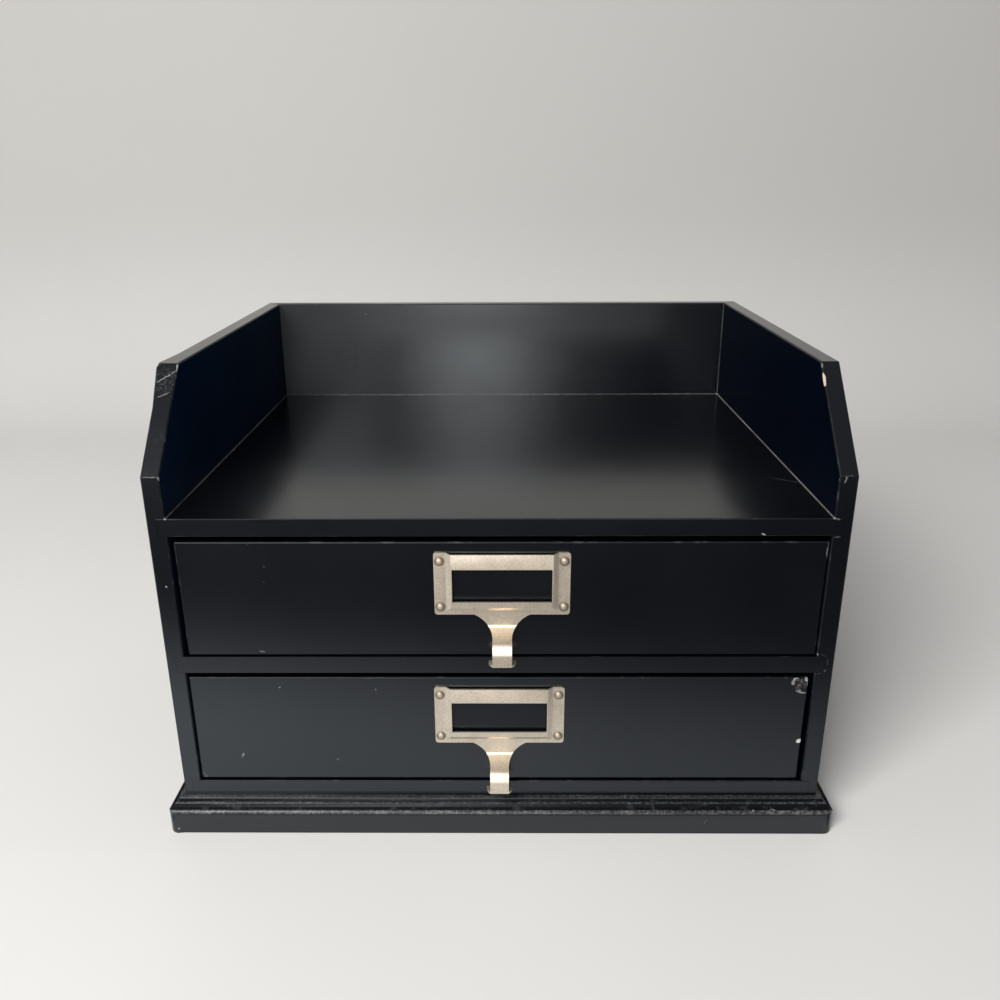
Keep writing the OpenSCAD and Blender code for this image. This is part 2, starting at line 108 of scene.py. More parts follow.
# Wear on the paint, in millimetres in the part's frame: start, end, half width, and paleness up to 1.
# A dot starts and ends at one point.
CASE_MARKS = (
    # Cracks and rubbed edges at the top of the walls' slanted edges
    ((-155.8, -84.0, 235.2), (-165.0, -88.9, 230.1), 0.42, 0.26),
    ((-158.2, -92.7, 226.1), (-164.2, -94.9, 223.9), 0.40, 0.17),
    ((-155.9, -81.6, 237.7), (-155.9, -84.6, 234.7), 0.70, 0.60),
    ((155.9, -82.0, 237.3), (155.9, -84.9, 234.3), 0.60, 0.26),
    # Nicks where the slanted edges meet the upright ones
    ((-164.4, FRONT, 193.6), (-156.4, FRONT, 193.5), 0.26, 0.15),
    ((-156.3, FRONT, 193.5), (-156.1, FRONT, 192.4), 0.50, 0.26),
    ((156.1, FRONT, 193.5), (164.0, FRONT, 193.6), 0.24, 0.07),
    ((159.5, FRONT, 193.4), (158.8, FRONT, 190.2), 0.35, 0.20),
    ((156.1, FRONT, 193.2), (156.1, FRONT, 191.2), 0.45, 0.22),
    # Scratch and dots on the tray's floor, walls and front edges
    ((141.6, -63.1, TRAY), (155.9, -73.0, TRAY), 0.35, 0.10),
    ((-156.0, -10.2, TRAY), (-156.0, -12.8, TRAY), 0.90, 0.40),
    ((-118.7, -57.1, TRAY), (-118.7, -57.1, TRAY), 0.55, 0.10),
    ((-81.8, -7.3, TRAY), (-81.8, -7.3, TRAY), 0.60, 0.12),
    ((-95.4, BACK, 231.2), (-95.4, BACK, 231.2), 0.60, 0.08),
    ((-88.2, BACK, 206.3), (-88.2, BACK, 206.3), 0.60, 0.08),
    ((123.4, FRONT, 165.3), (124.4, FRONT, 164.5), 0.40, 0.40),
    ((156.9, FRONT, 163.4), (159.7, FRONT, 163.3), 0.30, 0.14),
    ((156.6, FRONT, 172.6), (158.2, FRONT, 172.4), 0.35, 0.14),
    ((-159.7, FRONT, 138.2), (-159.7, FRONT, 138.2), 0.45, 0.45),
    ((156.2, FRONT, 101.6), (156.3, FRONT, 100.6), 0.45, 0.28),
    # Outline of the divider's end under the paint
    ((158.0, FRONT, 101.2), (160.6, FRONT, 99.8), 0.40, 0.025),
    ((161.5, FRONT, 98.6), (161.8, FRONT, 95.6), 0.40, 0.030),
    ((161.2, FRONT, 92.6), (160.9, FRONT, 92.0), 0.45, 0.060),
    ((159.6, FRONT, 91.0), (157.2, FRONT, 90.2), 0.40, 0.040),
)
UPPER_MARKS = (
    ((148.3, INSET, 161.5), (155.0, INSET, 161.5), 0.45, 0.12),
    ((155.3, INSET, 161.2), (155.3, INSET, 153.0), 0.45, 0.18),
    ((-119.1, INSET, 159.5), (-119.1, INSET, 159.5), 0.30, 0.10),
    ((-112.4, INSET, 147.9), (-112.4, INSET, 147.9), 0.30, 0.06),
    ((-113.0, INSET, 140.3), (-113.0, INSET, 140.3), 0.30, 0.06),
    ((-118.6, INSET, 102.6), (-116.2, INSET, 102.2), 0.40, 0.14),
)
LOWER_MARKS = (
    # Broken paint round the chipped corner
    ((146.4, INSET, 85.8), (146.6, INSET, 84.2), 0.80, 0.30),
    ((147.8, INSET, 87.0), (149.0, INSET, 86.6), 0.60, 0.34),
    ((152.4, INSET, 87.6), (153.0, INSET, 83.6), 0.80, 0.42),
    ((148.0, INSET, 79.9), (153.4, INSET, 78.7), 0.40, 0.30),
    ((142.0, INSET, 88.4), (146.0, INSET, 88.6), 0.35, 0.12),
    # White dot near the right edge, and smaller dots
    ((152.5, INSET, 50.4), (153.3, INSET, 50.8), 1.15, 0.90),
    ((146.9, INSET, 86.9), (147.1, INSET, 86.3), 0.45, 0.50),
    ((151.9, INSET, 86.0), (152.4, INSET, 84.8), 0.45, 0.60),
    ((149.6, INSET, 80.6), (150.4, INSET, 80.2), 0.40, 0.50),
    ((-110.4, INSET, 82.3), (-110.0, INSET, 82.6), 0.45, 0.16),
    ((-62.1, INSET, 80.8), (-62.1, INSET, 80.8), 0.45, 0.14),
    ((-133.0, INSET, 41.0), (-132.4, INSET, 42.8), 0.45, 0.22),
    ((-83.9, INSET, 39.4), (-83.9, INSET, 39.4), 0.45, 0.14),
    ((-154.9, INSET, 31.2), (-152.6, INSET, 28.6), 0.40, 0.14),
)
FRONT_MARKS = {"upper": UPPER_MARKS, "lower": LOWER_MARKS}
BASE_MARKS = (
    ((-167.9, BASE_FRONT, 2.6), (-167.9, BASE_FRONT, 2.6), 0.45, 0.50),
    ((106.8, BASE_FRONT, 11.0), (105.9, BASE_FRONT, 4.0), 0.25, 0.07),
    ((131.1, -130.5, 13.6), (131.1, -130.5, 13.6), 0.60, 0.28),
    ((139.0, -130.5, 14.4), (142.5, -130.5, 14.0), 0.35, 0.22),
)
# How far marks sway to and fro, and the length of a sway
SWAY = 1.0 * MM
SWAY_SIZE = 2.2 * MM
# Scuffed zones full of small pale specks, in millimetres: centre, reach and paleness
CASE_SCUFFS = (
    ((-160.5, -88.0, 231.3), 9.0, 0.085),
    ((-160.5, -111.0, 207.0), 9.0, 0.020),
)

# Chips out of the boards, in millimetres: centre and radii of the lump that is cut away, its turn in
# degrees about X, its unevenness, its seed, and the material that the cut bares
CHIPS = {
    "left_side_panel": (
        ((-174.5, -85.4, 249.6), (16.0, 16.0, 16.0), 0, 0.025, 3, "crushed_board"),
    ),
    "right_side_panel": (
        ((155.7, -88.4, 230.9), (1.25, 1.5, 4.6), -43.7, 0.16, 11, "bare_board"),
    ),
    "lower_drawer_front": (
        ((150.2, -123.6, 83.6), (3.2, 2.2, 3.4), 0, 0.34, 5, "broken_paint"),
        ((-155.0, -123.4, 28.4), (2.2, 1.6, 2.0), 0, 0.20, 8, "broken_paint"),
    ),
}

# Colours, linear
PAINT_TONES = (0.0007, 0.0012, 0.0030), (0.0018, 0.0024, 0.0042)
PAINT_RUBBED = (0.055, 0.056, 0.060)
# Bluish tint of the paint's reflections: a painted cool cast standing in for cool light around the object
PAINT_SHINE_COOL_CAST = (0.90, 0.955, 1.0, 1.0)
# Refractive index, which sets the shine: of the faces, the tray's back, the base's moulding, worn edges,
# the drawer fronts behind the pulls' windows, and the tray's walls inside
PAINT_IOR = 1.65
BACK_IOR = 1.58
MOULDING_IOR = 1.40
EDGE_IOR = 1.35
WINDOW_IOR = 1.45
INNER_IOR = 1.05
# Painted light on the tray's walls inside: a cool cast that makes them bluer, the left one lighter and bluer
# still
LEFT_PAINT_AND_COOL_LIGHT = (0.0044, 0.0140, 0.0370), (0.0035, 0.0112, 0.0300)
RIGHT_PAINT_AND_COOL_LIGHT = (0.0008, 0.0021, 0.0068), (0.0011, 0.0026, 0.0076)
PALE = (0.72, 0.71, 0.69)
# Two tones of each other finish, which its pattern mixes
BARE_TONES = (0.42, 0.33, 0.25), (0.80, 0.68, 0.56)
CRUSHED_TONES = (0.012, 0.012, 0.014), (0.20, 0.19, 0.19)
BROKEN_TONES = (0.004, 0.004, 0.005), (0.34, 0.33, 0.32)
HARDBOARD_TONES = (0.020, 0.014, 0.010), (0.055, 0.040, 0.029)
HARDBOARD_CLOUD = (0.030, 0.023, 0.018)
STEEL_TONES = (0.36, 0.37, 0.38), (0.58, 0.58, 0.57)
NICKEL = (0.85, 0.746, 0.612)
NICKEL_DULL = (0.746, 0.658, 0.534)
# Dark tone of the nickel's stain in its grain, also used for the painted shade in the rings round the pins
NICKEL_STAIN_AND_SHADE = (0.30, 0.25, 0.19)
# How much painted shade is in the rings, and how much stain is in the grain and all over the pins
RING_SHADE = 0.92
GRAIN_STAIN = 0.27
PIN_STAIN = 0.40

# Roughness of the pulls, of the pins and of the paint; what worn edges and pale wear add to the paint's,
# and how far it changes slowly and finely
PULL_ROUGH = 0.45
PIN_ROUGH = 0.60
PAINT_ROUGH = 0.165
EDGE_DULL = 0.25
WEAR_DULL = 0.4
SLOW_DULL = 0.05
FINE_DULL = 0.03
# Places across the tray's back between which it grows hazy, and the roughness that haze adds
HAZE_X = (-70 * MM, -135 * MM)
HAZE_DULL = 0.17
# Dust specks on the paint: distance apart, radius, share of places that have one, and paleness
SPECK_CELL = 5.0 * MM
SPECK_R = 0.22 * MM
SPECK_SHARE = 0.22
SPECK_TONE = 0.14
# Paleness of dust along the tray's joints: floor and sides, floor and back, sides and back
FLOOR_SIDE_DUST = 0.55
FLOOR_BACK_DUST = 0.20
SIDE_BACK_DUST = 0.16
# Distances from a joint between which its dust fades in
DUST_LINE = (0.60 * MM, 0.25 * MM)
# Heights between which dust fades in on the moulding's upper ribs, and between which the pale band on its
# nose, partly dust and partly a painted sheen, fades in and out
RIBS_FROM = (NOSE_Z + 0.6 * MM, NOSE_Z + 1.2 * MM)
NOSE_FROM = (NOSE_Z - 2.6 * MM, NOSE_Z - 2.0 * MM)
NOSE_TO = (NOSE_Z + 0.5 * MM, NOSE_Z + 0.2 * MM)


class Tree:
    """A material in the making: each method adds a node and returns its output."""

    def __init__(self, name):
        self.material = bpy.data.materials.new(name)
        self.material.use_nodes = True
        self.nodes = self.material.node_tree.nodes
        self.links = self.material.node_tree.links
        self.shader = self.nodes["Principled BSDF"]
        self.where = self.add("ShaderNodeTexCoord").outputs["Object"]
        self.unsteady = None

    def add(self, kind, values=None, **settings):
        node = self.nodes.new(kind)
        for key, value in settings.items():
            setattr(node, key, value)
        for key, value in (values or {}).items():
            self.put(value, node.inputs[key])
        return node

    def put(self, value, socket):
        if isinstance(value, bpy.types.NodeSocket):
            self.links.new(value, socket)
        else:
            socket.default_value = value

    def calc(self, operation, a, b=0.0, c=0.0):
        node = self.add("ShaderNodeMath", {0: a, 1: b, 2: c}, operation=operation)
        return node.outputs[0]

    def axes(self, vector):
        return self.add("ShaderNodeSeparateXYZ", {"Vector": vector}).outputs

    def fade(self, value, low, high, start=0.0, end=1.0):
        """Value from low to high turned smoothly into start to end."""
        values = {"Value": value, "From Min": low, "From Max": high, "To Min": start, "To Max": end}
        return self.add("ShaderNodeMapRange", values, interpolation_type="SMOOTHSTEP").outputs[0]

    def span(self, value, low, high):
        """Value from 0 to 1 turned evenly into low to high."""
        return self.calc("MULTIPLY_ADD", value, high - low, low)

    def stretch(self, scale):
        values = {"Vector": self.where, "Scale": scale}
        return self.add("ShaderNodeMapping", values).outputs[0]

    def noise(self, size, detail=2.0, rough=0.5, at=None):
        """Cloudy pattern whose spots are about size metres across."""
        values = {"Vector": at or self.where, "Scale": 1 / size, "Detail": detail, "Roughness": rough}
        return self.add("ShaderNodeTexNoise", values).outputs["Fac"]

    def specks(self, cell, radius, share):
        """Sparse round specks: one place per cell, of which only a share is used."""
        node = self.add("ShaderNodeTexVoronoi", {"Vector": self.where, "Scale": 1 / cell})
        near = self.fade(node.outputs["Distance"], radius / cell, 0.5 * radius / cell)
        pick = self.add("ShaderNodeSeparateColor", {"Color": node.outputs["Color"]}).outputs[0]
        return self.calc("MULTIPLY", near, self.calc("LESS_THAN", pick, share))

    def mark(self, start, end, half_width):
        """Mask of a ragged stroke from start to end, or of a dot where they are one point."""
        along = end - start
        turn = along.to_track_quat("X", "Z").to_euler() if along.length else (0, 0, 0)
        radii = (along.length / 2 + half_width, half_width, half_width)
        values = {"Vector": self.wandering(), "Location": (start + end) / 2, "Rotation": turn, "Scale": radii}
        local = self.add("ShaderNodeMapping", values, vector_type="TEXTURE").outputs[0]
        reach = self.add("ShaderNodeVectorMath", {0: local}, operation="LENGTH").outputs["Value"]
        return self.fade(reach, 1.25, 0.65)

    def wandering(self):
        """The place on the surface, shifted a little to and fro so that marks aren't ruler straight."""
        if self.unsteady is None:
            values = {"Vector": self.where, "Scale": 1 / SWAY_SIZE, "Detail": 3, "Roughness": 0.6}
            sway = self.add("ShaderNodeTexNoise", values).outputs["Color"]
            values = {0: sway, 1: (2 * SWAY,) * 3, 2: (-SWAY,) * 3}
            sway = self.add("ShaderNodeVectorMath", values, operation="MULTIPLY_ADD").outputs[0]
            values = {0: self.where, 1: sway}
            self.unsteady = self.add("ShaderNodeVectorMath", values, operation="ADD").outputs[0]
        return self.unsteady

    def scuff(self, centre, reach):
        """Mask of a zone of small pale specks that thin out towards its rim."""
        values = {0: self.where, 1: centre}
        away = self.add("ShaderNodeVectorMath", values, operation="DISTANCE").outputs["Value"]
        specks = self.fade(self.noise(0.9 * MM, detail=4, rough=0.75), 0.50, 0.66)
        return self.calc("MULTIPLY", self.fade(away, reach, 0.6 * reach), specks)

    def mix(self, share, a, b):
        node = self.add("ShaderNodeMix", {"Factor": share}, data_type="RGBA")
        for name, value in (("A", a), ("B", b)):
            socket = next(s for s in node.inputs if s.name == name and s.type == "RGBA")
            self.put((*value, 1.0) if isinstance(value, tuple) else value, socket)
        return next(s for s in node.outputs if s.type == "RGBA")

    def bump(self, height, depth, share=1.0):
        """Surface relief: height from 0 to 1 stands for depth metres."""
        values = {"Height": height, "Distance": depth, "Strength": share}
        return self.add("ShaderNodeBump", values).outputs[0]

    def finish(self, colour, roughness, normal=None, **constants):
        self.put(colour, self.shader.inputs["Base Color"])
        self.put(roughness, self.shader.inputs["Roughness"])
        if normal:
            self.put(normal, self.shader.inputs["Normal"])
        for name, value in constants.items():
            self.shader.inputs[name.replace("_", " ")].default_value = value
        return self.material


def joint_dust(t):
    """Broken lines of dust where two of the tray's inner planes meet."""
    x, y, z = t.axes(t.where)
    side = t.calc("ABSOLUTE", t.calc("SUBTRACT", t.calc("ABSOLUTE", x), TRAY_HALF_W))
    back = t.calc("ABSOLUTE", t.calc("SUBTRACT", y, TRAY_BACK_Y))
    floor = t.calc("ABSOLUTE", t.calc("SUBTRACT", z, TRAY_Z))
    total = 0.0
    joints = ((side, floor, FLOOR_SIDE_DUST), (back, floor, FLOOR_BACK_DUST), (side, back, SIDE_BACK_DUST))
    for a, b, tone in joints:
        line = t.fade(t.calc("MAXIMUM", a, b), *DUST_LINE)
        total = t.calc("MULTIPLY_ADD", line, tone, total)
    crumbs = t.fade(t.noise(2.5 * MM, detail=4, rough=0.7), 0.36, 0.60, start=0.45)
    patches = t.fade(t.noise(40 * MM), 0.35, 0.65, start=0.6)
    return t.calc("MULTIPLY", total, t.calc("MULTIPLY", crumbs, patches))


def moulding_dust(t):
    """Fine dust on the two upper ribs of the base's moulding, and on its nose a pale band that is partly dust
    and partly a painted sheen where the rounding faces the light.
    """
    up = t.axes(t.add("ShaderNodeNewGeometry").outputs["Normal"])[2]
    level = t.axes(t.where)[2]
    upper_ribs = t.calc("MULTIPLY", t.fade(up, 0.35, 0.75), t.fade(level, *RIBS_FROM))
    # Band across the nose's rounding, weakest where it faces straight up: partly dust, partly painted sheen
    nose_dust_and_sheen = t.calc("MULTIPLY", t.fade(up, 0.05, 0.40), t.fade(up, 0.99, 0.90, start=0.15, end=1.4))
    nose = t.calc("MULTIPLY", t.fade(level, *NOSE_FROM), t.fade(level, *NOSE_TO))
    dusty = t.calc("MULTIPLY_ADD", nose_dust_and_sheen, nose, upper_ribs)
    grain = t.fade(t.noise(1.5 * MM, detail=4, rough=0.75), 0.40, 0.68, start=0.020, end=0.17)
    patches = t.fade(t.noise(18 * MM, detail=3), 0.35, 0.65, start=0.55)
    return t.calc("MULTIPLY", dusty, t.calc("MULTIPLY", grain, patches))


def back_haze(t):
    """Extra roughness towards the left end of the tray's back."""
    return t.fade(t.axes(t.where)[0], *HAZE_X, end=HAZE_DULL)


def paint(name, edge=False, dull=0.0, tones=PAINT_TONES, marks=(), scuffs=(), dust=None, haze=None,
          ior=PAINT_IOR):
    """Black satin paint over board: faintly mottled, with dust specks, wear marks and rubbed edges."""
    t = Tree(name)
    cloud = t.noise(45 * MM, detail=3)
    fine = t.noise(0.9 * MM)
    colour = t.mix(t.fade(cloud, 0.3, 0.7), *tones)
    if edge:
        dull += EDGE_DULL
        rubbed = t.fade(t.noise(6 * MM, detail=4, rough=0.65), 0.54, 0.70, end=0.6)
        colour = t.mix(rubbed, colour, PAINT_RUBBED)
    pale = t.calc("MULTIPLY", t.specks(SPECK_CELL, SPECK_R, SPECK_SHARE), SPECK_TONE)
    for start, end, half_width, tone in marks:
        stroke = t.mark(Vector(start) * MM, Vector(end) * MM, half_width * MM)
        pale = t.calc("MAXIMUM", pale, t.calc("MULTIPLY", stroke, tone))
    for centre, reach, tone in scuffs:
        pale = t.calc("MAXIMUM", pale, t.calc("MULTIPLY", t.scuff(Vector(centre) * MM, reach * MM), tone))
    if dust:
        pale = t.calc("MAXIMUM", pale, dust(t))
    colour = t.mix(pale, colour, PALE)
    rough = PAINT_ROUGH + dull
    for pattern, gain in ((t.noise(30 * MM, detail=4), SLOW_DULL), (fine, FINE_DULL), (pale, WEAR_DULL)):
        rough = t.calc("MULTIPLY_ADD", pattern, gain, rough)
    if haze:
        rough = t.calc("ADD", rough, haze(t))
    relief = t.bump(fine, depth=0.01 * MM, share=0.4)
    return t.finish(colour, rough, relief, IOR=ior, Specular_Tint=PAINT_SHINE_COOL_CAST)


def paints(name, **settings):
    """The paint of a board's faces, and of its rounded edges."""
    worn = settings | {"edge": True, "ior": EDGE_IOR}
    return paint(name + "_face", **settings), paint(name + "_edge", **worn)


def bare_board(name):
    """Fibreboard laid bare by a chip."""
    t = Tree(name)
    fibres = t.noise(0.5 * MM, detail=4, rough=0.7)
    colour = t.mix(fibres, *BARE_TONES)
    return t.finish(colour, t.span(fibres, 0.7, 0.9), t.bump(fibres, depth=0.2 * MM, share=0.7))


def crushed_board(name):
    """Blunted corner, with dark paint pressed into the board and pale specks."""
    t = Tree(name)
    grain = t.noise(1.1 * MM, detail=4, rough=0.7)
    colour = t.mix(t.fade(grain, 0.50, 0.72), *CRUSHED_TONES)
    return t.finish(colour, t.span(grain, 0.4, 0.7), t.bump(grain, depth=0.3 * MM, share=0.8))


def broken_paint(name):
    """Dark hollow where the paint and some board have come away."""
    t = Tree(name)
    grain = t.noise(0.9 * MM, detail=4, rough=0.7)
    colour = t.mix(t.fade(grain, 0.53, 0.66), *BROKEN_TONES)
    return t.finish(colour, t.span(grain, 0.5, 0.8), t.bump(grain, depth=0.3 * MM, share=0.8))


def hardboard(name):
    """Dark hardboard of the drawers' floors, with fibres."""
    t = Tree(name)
    fibres = t.noise(1.0 * MM, detail=5, rough=0.7, at=t.stretch((1.0, 0.25, 1.0)))
    cloud = t.noise(25 * MM, detail=3)
    colour = t.mix(fibres, *HARDBOARD_TONES)
    colour = t.mix(t.calc("MULTIPLY", cloud, 0.5), colour, HARDBOARD_CLOUD)
    return t.finish(colour, t.span(fibres, 0.55, 0.75), t.bump(fibres, depth=0.08 * MM, share=0.6))


def pin_distance(t, pins_node):
    """Distance from the axis of the nearest of a pull's four pins."""
    low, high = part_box(pins_node)
    middle, half = (low + high) / 2, (high - low) / 2
    x, _, z = t.axes(t.where)
    squares = []
    for place, axis in ((x, 0), (z, 2)):
        away = t.calc("ABSOLUTE", t.calc("SUBTRACT", place, middle[axis]))
        away = t.calc("SUBTRACT", away, half[axis] - PIN_HEAD_R)
        squares.append(t.calc("MULTIPLY", away, away))
    return t.calc("SQRT", t.calc("ADD", *squares))


def nickel(name, roughness, pins_node, shade_ring, stain=0.0):
    """Nickel plate with a warm tone, a grain and dull patches, and painted shade in a ring round each pin.

    The ring goes from clean to shaded between two radii, and stain is how much stain lies everywhere.
    """
    t = Tree(name)
    grain = t.noise(0.8 * MM, detail=3, rough=0.7)
    cloud = t.noise(9 * MM, detail=3)
    colour = t.mix(t.fade(cloud, 0.35, 0.75), NICKEL, NICKEL_DULL)
    # Painted shade: darker in a ring round each pin's head
    stain_and_shade = t.fade(pin_distance(t, pins_node), *shade_ring, end=RING_SHADE)
    stain_and_shade = t.calc("MAXIMUM", stain_and_shade, t.fade(grain, 0.60, 0.35, start=stain, end=stain + GRAIN_STAIN))
    colour = t.mix(stain_and_shade, colour, NICKEL_STAIN_AND_SHADE)
    rough = t.calc("ADD", t.span(grain, -0.07, 0.07), t.span(cloud, roughness - 0.03, roughness + 0.03))
    return t.finish(colour, rough, t.bump(grain, depth=0.018 * MM, share=0.7), Metallic=1.0)


def steel(name):
    """Plain zinc-plated steel of the screws and brads."""
    t = Tree(name)
    cloud = t.noise(1.5 * MM, detail=4)
    colour = t.mix(cloud, *STEEL_TONES)
    relief = t.bump(cloud, depth=0.02 * MM, share=0.4)
    return t.finish(colour, t.span(cloud, 0.25, 0.50), relief, Metallic=1.0)


def tidy_mesh(bm):
    """Joins the split corners of a solid's triangles and merges flat faces."""
    bmesh.ops.remove_doubles(bm, verts=bm.verts, dist=JOIN_REACH)
    bmesh.ops.dissolve_limit(bm, angle_limit=FLAT_ANGLE, verts=bm.verts, edges=bm.edges)


def tree_of(node):
    """Search tree over a CAD node's surface."""
    bm = bmesh.new()
    bm.from_mesh(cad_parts[node].data)
    tree = BVHTree.FromBMesh(bm)
    bm.free()
    return tree


def touches(point, others):
    return any(other.find_nearest(point, JOINT_REACH)[0] for other in others)


def is_sharp(edge):
    return len(edge.link_faces) == 2 and edge.calc_face_angle() > SMOOTH_ANGLE


def new_piece(name, bm, materials):
    mesh = bpy.data.meshes.new(name)
    bm.to_mesh(mesh)
    bm.free()
    mesh.shade_smooth()
    mesh.set_sharp_from_angle(angle=SMOOTH_ANGLE)
    for material in materials:
        mesh.materials.append(material)
    piece = bpy.data.objects.new(name, mesh)
    bpy.context.scene.collection.objects.link(piece)
    return piece


def even_shading(piece):
    """Keeps flat faces evenly lit beside their rounded edges."""
    modifier = piece.modifiers.new("even shading", "WEIGHTED_NORMAL")
    modifier.mode = "FACE_AREA"
    modifier.weight = 100
    modifier.keep_sharp = True


def stand_for(piece, node, body):
    """Lets a piece stand for a CAD node, which it hides, and ride on its body."""
    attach(piece, body)
    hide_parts(node)


# Lumps that cut chips: fineness, waves across one, and their noise's smoothness, step of scale and steps
LUMP_FINENESS = 4
LUMP_WAVES = 1.6
LUMP_NOISE = (0.6, 2.0, 3)


def lump(centre, radii, turn, uneven, seed, material):
    """Ragged closed lump that cuts a chip."""
    bm = bmesh.new()
    bmesh.ops.create_icosphere(bm, subdivisions=LUMP_FINENESS, radius=1.0)
    for vert in bm.verts:
        vert.co *= 1 + uneven * noise.fractal(vert.co * LUMP_WAVES + Vector((seed, 0, 0)), *LUMP_NOISE)
    place = Matrix.Translation(Vector(centre) * MM) @ Matrix.Rotation(math.radians(turn), 4, "X")
    bmesh.ops.transform(bm, matrix=place @ Matrix.Diagonal((*(Vector(radii) * MM), 1.0)), verts=bm.verts)
    return new_piece("lump", bm, (material,))


def freeze(piece):
    """Turns the modifiers' result into the piece's own mesh."""
    bpy.context.view_layer.update()
    shaped = piece.evaluated_get(bpy.context.evaluated_depsgraph_get())
    mesh = bpy.data.meshes.new_from_object(shaped)
    piece.modifiers.clear()
    plain = piece.data
    piece.data = mesh
    bpy.data.meshes.remove(plain)


def drop_empty_faces(mesh):
    """Takes out faces that a modifier has drawn together to nothing."""
    bm = bmesh.new()
    bm.from_mesh(mesh)
    bmesh.ops.dissolve_degenerate(bm, dist=EMPTY_SIZE, edges=bm.edges)
    bm.to_mesh(mesh)
    bm.free()


def sharpen_rims(mesh, painted):
    """Keeps the shading of painted faces apart from that of the chips, whose materials come after theirs."""
    bm = bmesh.new()
    bm.from_mesh(mesh)
    for edge in bm.edges:
        if len({face.material_index < painted for face in edge.link_faces}) == 2:
            edge.smooth = False
    bm.to_mesh(mesh)
    bm.free()


def cut_chips(piece, chips, bared):
    """Cuts each chip out of a piece and gives the cut the bared material."""
    lumps = [lump(*shape, bared[material]) for *shape, material in chips]
    for cutter in lumps:
        modifier = piece.modifiers.new("chip", "BOOLEAN")
        modifier.operation = "DIFFERENCE"
        modifier.solver = "EXACT"
        modifier.material_mode = "TRANSFER"
        modifier.object = cutter
    painted = len(piece.data.materials)
    freeze(piece)
    sharpen_rims(piece.data, painted)
    for cutter in lumps:
        bpy.data.objects.remove(cutter)


def cut_faces(bm, chosen, planes):
    """Cuts the chosen faces, and no others, along planes that are each given by a place and a normal."""
    for place, normal in planes:
        faces = [face for face in bm.faces if chosen(face)]
        edges = list(dict.fromkeys(edge for face in faces for edge in face.edges))
        verts = list(dict.fromkeys(vert for face in faces for vert in face.verts))
        bmesh.ops.bisect_plane(bm, geom=verts + edges + faces, plane_co=place, plane_no=normal)


# The left wall's damaged corner at the top of its slant: its place, how far it swells out, its reach
# along the edges and under them, the turn from the top edge to the slant, and the steps of its fan
SWOLLEN_AT = Vector((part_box("left_side_panel")[0].x, -81.35 * MM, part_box("left_side_panel")[1].z))
SWELL_OUT = 1.8 * MM
SWELL_REACH = 25 * MM
SWELL_DEPTH = 17 * MM
SWELL_TURN = math.radians(133.7)
SWELL_STEPS = 4


def is_outer(face):
    """Whether a face is on the left wall's outer side."""
    return all(abs(vert.co.x - SWOLLEN_AT.x) < SAME_PLACE for vert in face.verts)


def swell_corner(bm):
    """Swells the outer face of the left wall round the top of its slant, by a fan of faces."""
    corner = min(bm.verts, key=lambda vert: (vert.co - SWOLLEN_AT).length)
    outer = next(face for face in corner.link_faces if is_outer(face))
    edges = [edge for edge in outer.edges if corner in edge.verts]
    ends = [bmesh.utils.edge_split(edge, corner, SWELL_REACH / edge.calc_length())[1] for edge in edges]
    ends.sort(key=lambda vert: -vert.co.z)
    turns = [SWELL_TURN * i / SWELL_STEPS for i in range(1, SWELL_STEPS)]
    rim = [corner.co + Vector((0, math.cos(turn), -math.sin(turn))) * SWELL_DEPTH for turn in turns]
    bmesh.utils.face_split(outer, *ends, coords=rim)
    for place in rim:
        rim_vert = min(bm.verts, key=lambda vert: (vert.co - place).length)
        shared = next(face for face in corner.link_faces if rim_vert in face.verts)
        bmesh.utils.face_split(shared, corner, rim_vert)
    corner.co.x -= SWELL_OUT


def faces_front(face):
    return face.normal.y < -FACING


def window_middle(front):
    """Middle of the window of the pull on a drawer's front."""
    low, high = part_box(front.replace("drawer_front", "pull"))
    return Vector(((low.x + high.x) / 2, low.y, high.z - WINDOW_DROP))


def fit_front(bm, node):
    """Takes the trim off the top of a drawer's front, and parts its face round the pull's window."""
    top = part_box(node)[1].z
    for vert in bm.verts:
        if vert.co.z > top - SAME_PLACE:
            vert.co.z -= FRONT_TRIM
    middle = window_middle(node)
    across = Vector((1, 0, 0))
    up = Vector((0, 0, 1))
    planes = [(middle + across * WINDOW_HALF_W * side, across) for side in (-1, 1)]
    planes += [(middle + up * WINDOW_HALF_H * side, up) for side in (-1, 1)]
    cut_faces(bm, faces_front, planes)


def in_window(face, middle):
    """Whether a face of a drawer's front lies behind its pull's window."""
    away = face.calc_center_median() - middle
    return faces_front(face) and abs(away.x) < WINDOW_HALF_W and abs(away.z) < WINDOW_HALF_H


def in_tray(face):
    """Whether a wall's face looks into the tray or the case."""
    aside = abs(face.calc_center_median().x)
    return abs(face.normal.x) > FACING and abs(aside - TRAY_HALF_W) < SAME_PLACE


def second_paint(node):
    """Test for a face with the second paint: on the base's moulding, in a window, or on a wall's inside."""
    if node == "base_board":
        return lambda face: face.calc_center_median().z > MOULDING_Z
    if node.endswith("front"):
        middle = window_middle(node)
        return lambda face: in_window(face, middle)
    return in_tray


def edge_rounding(edge, node, others, usual):
    """Rounding of an edge: none in a joint, little where it's blunt, and most on the base's nose."""
    middle = (edge.verts[0].co + edge.verts[1].co) / 2
    if touches(middle, others):
        return 0.0
    if node == "base_board" and abs(middle.z - NOSE_Z) < SAME_PLACE:
        return NOSE_ROUND
    return BLUNT_ROUND if edge.calc_face_angle() < BLUNT_ANGLE else usual


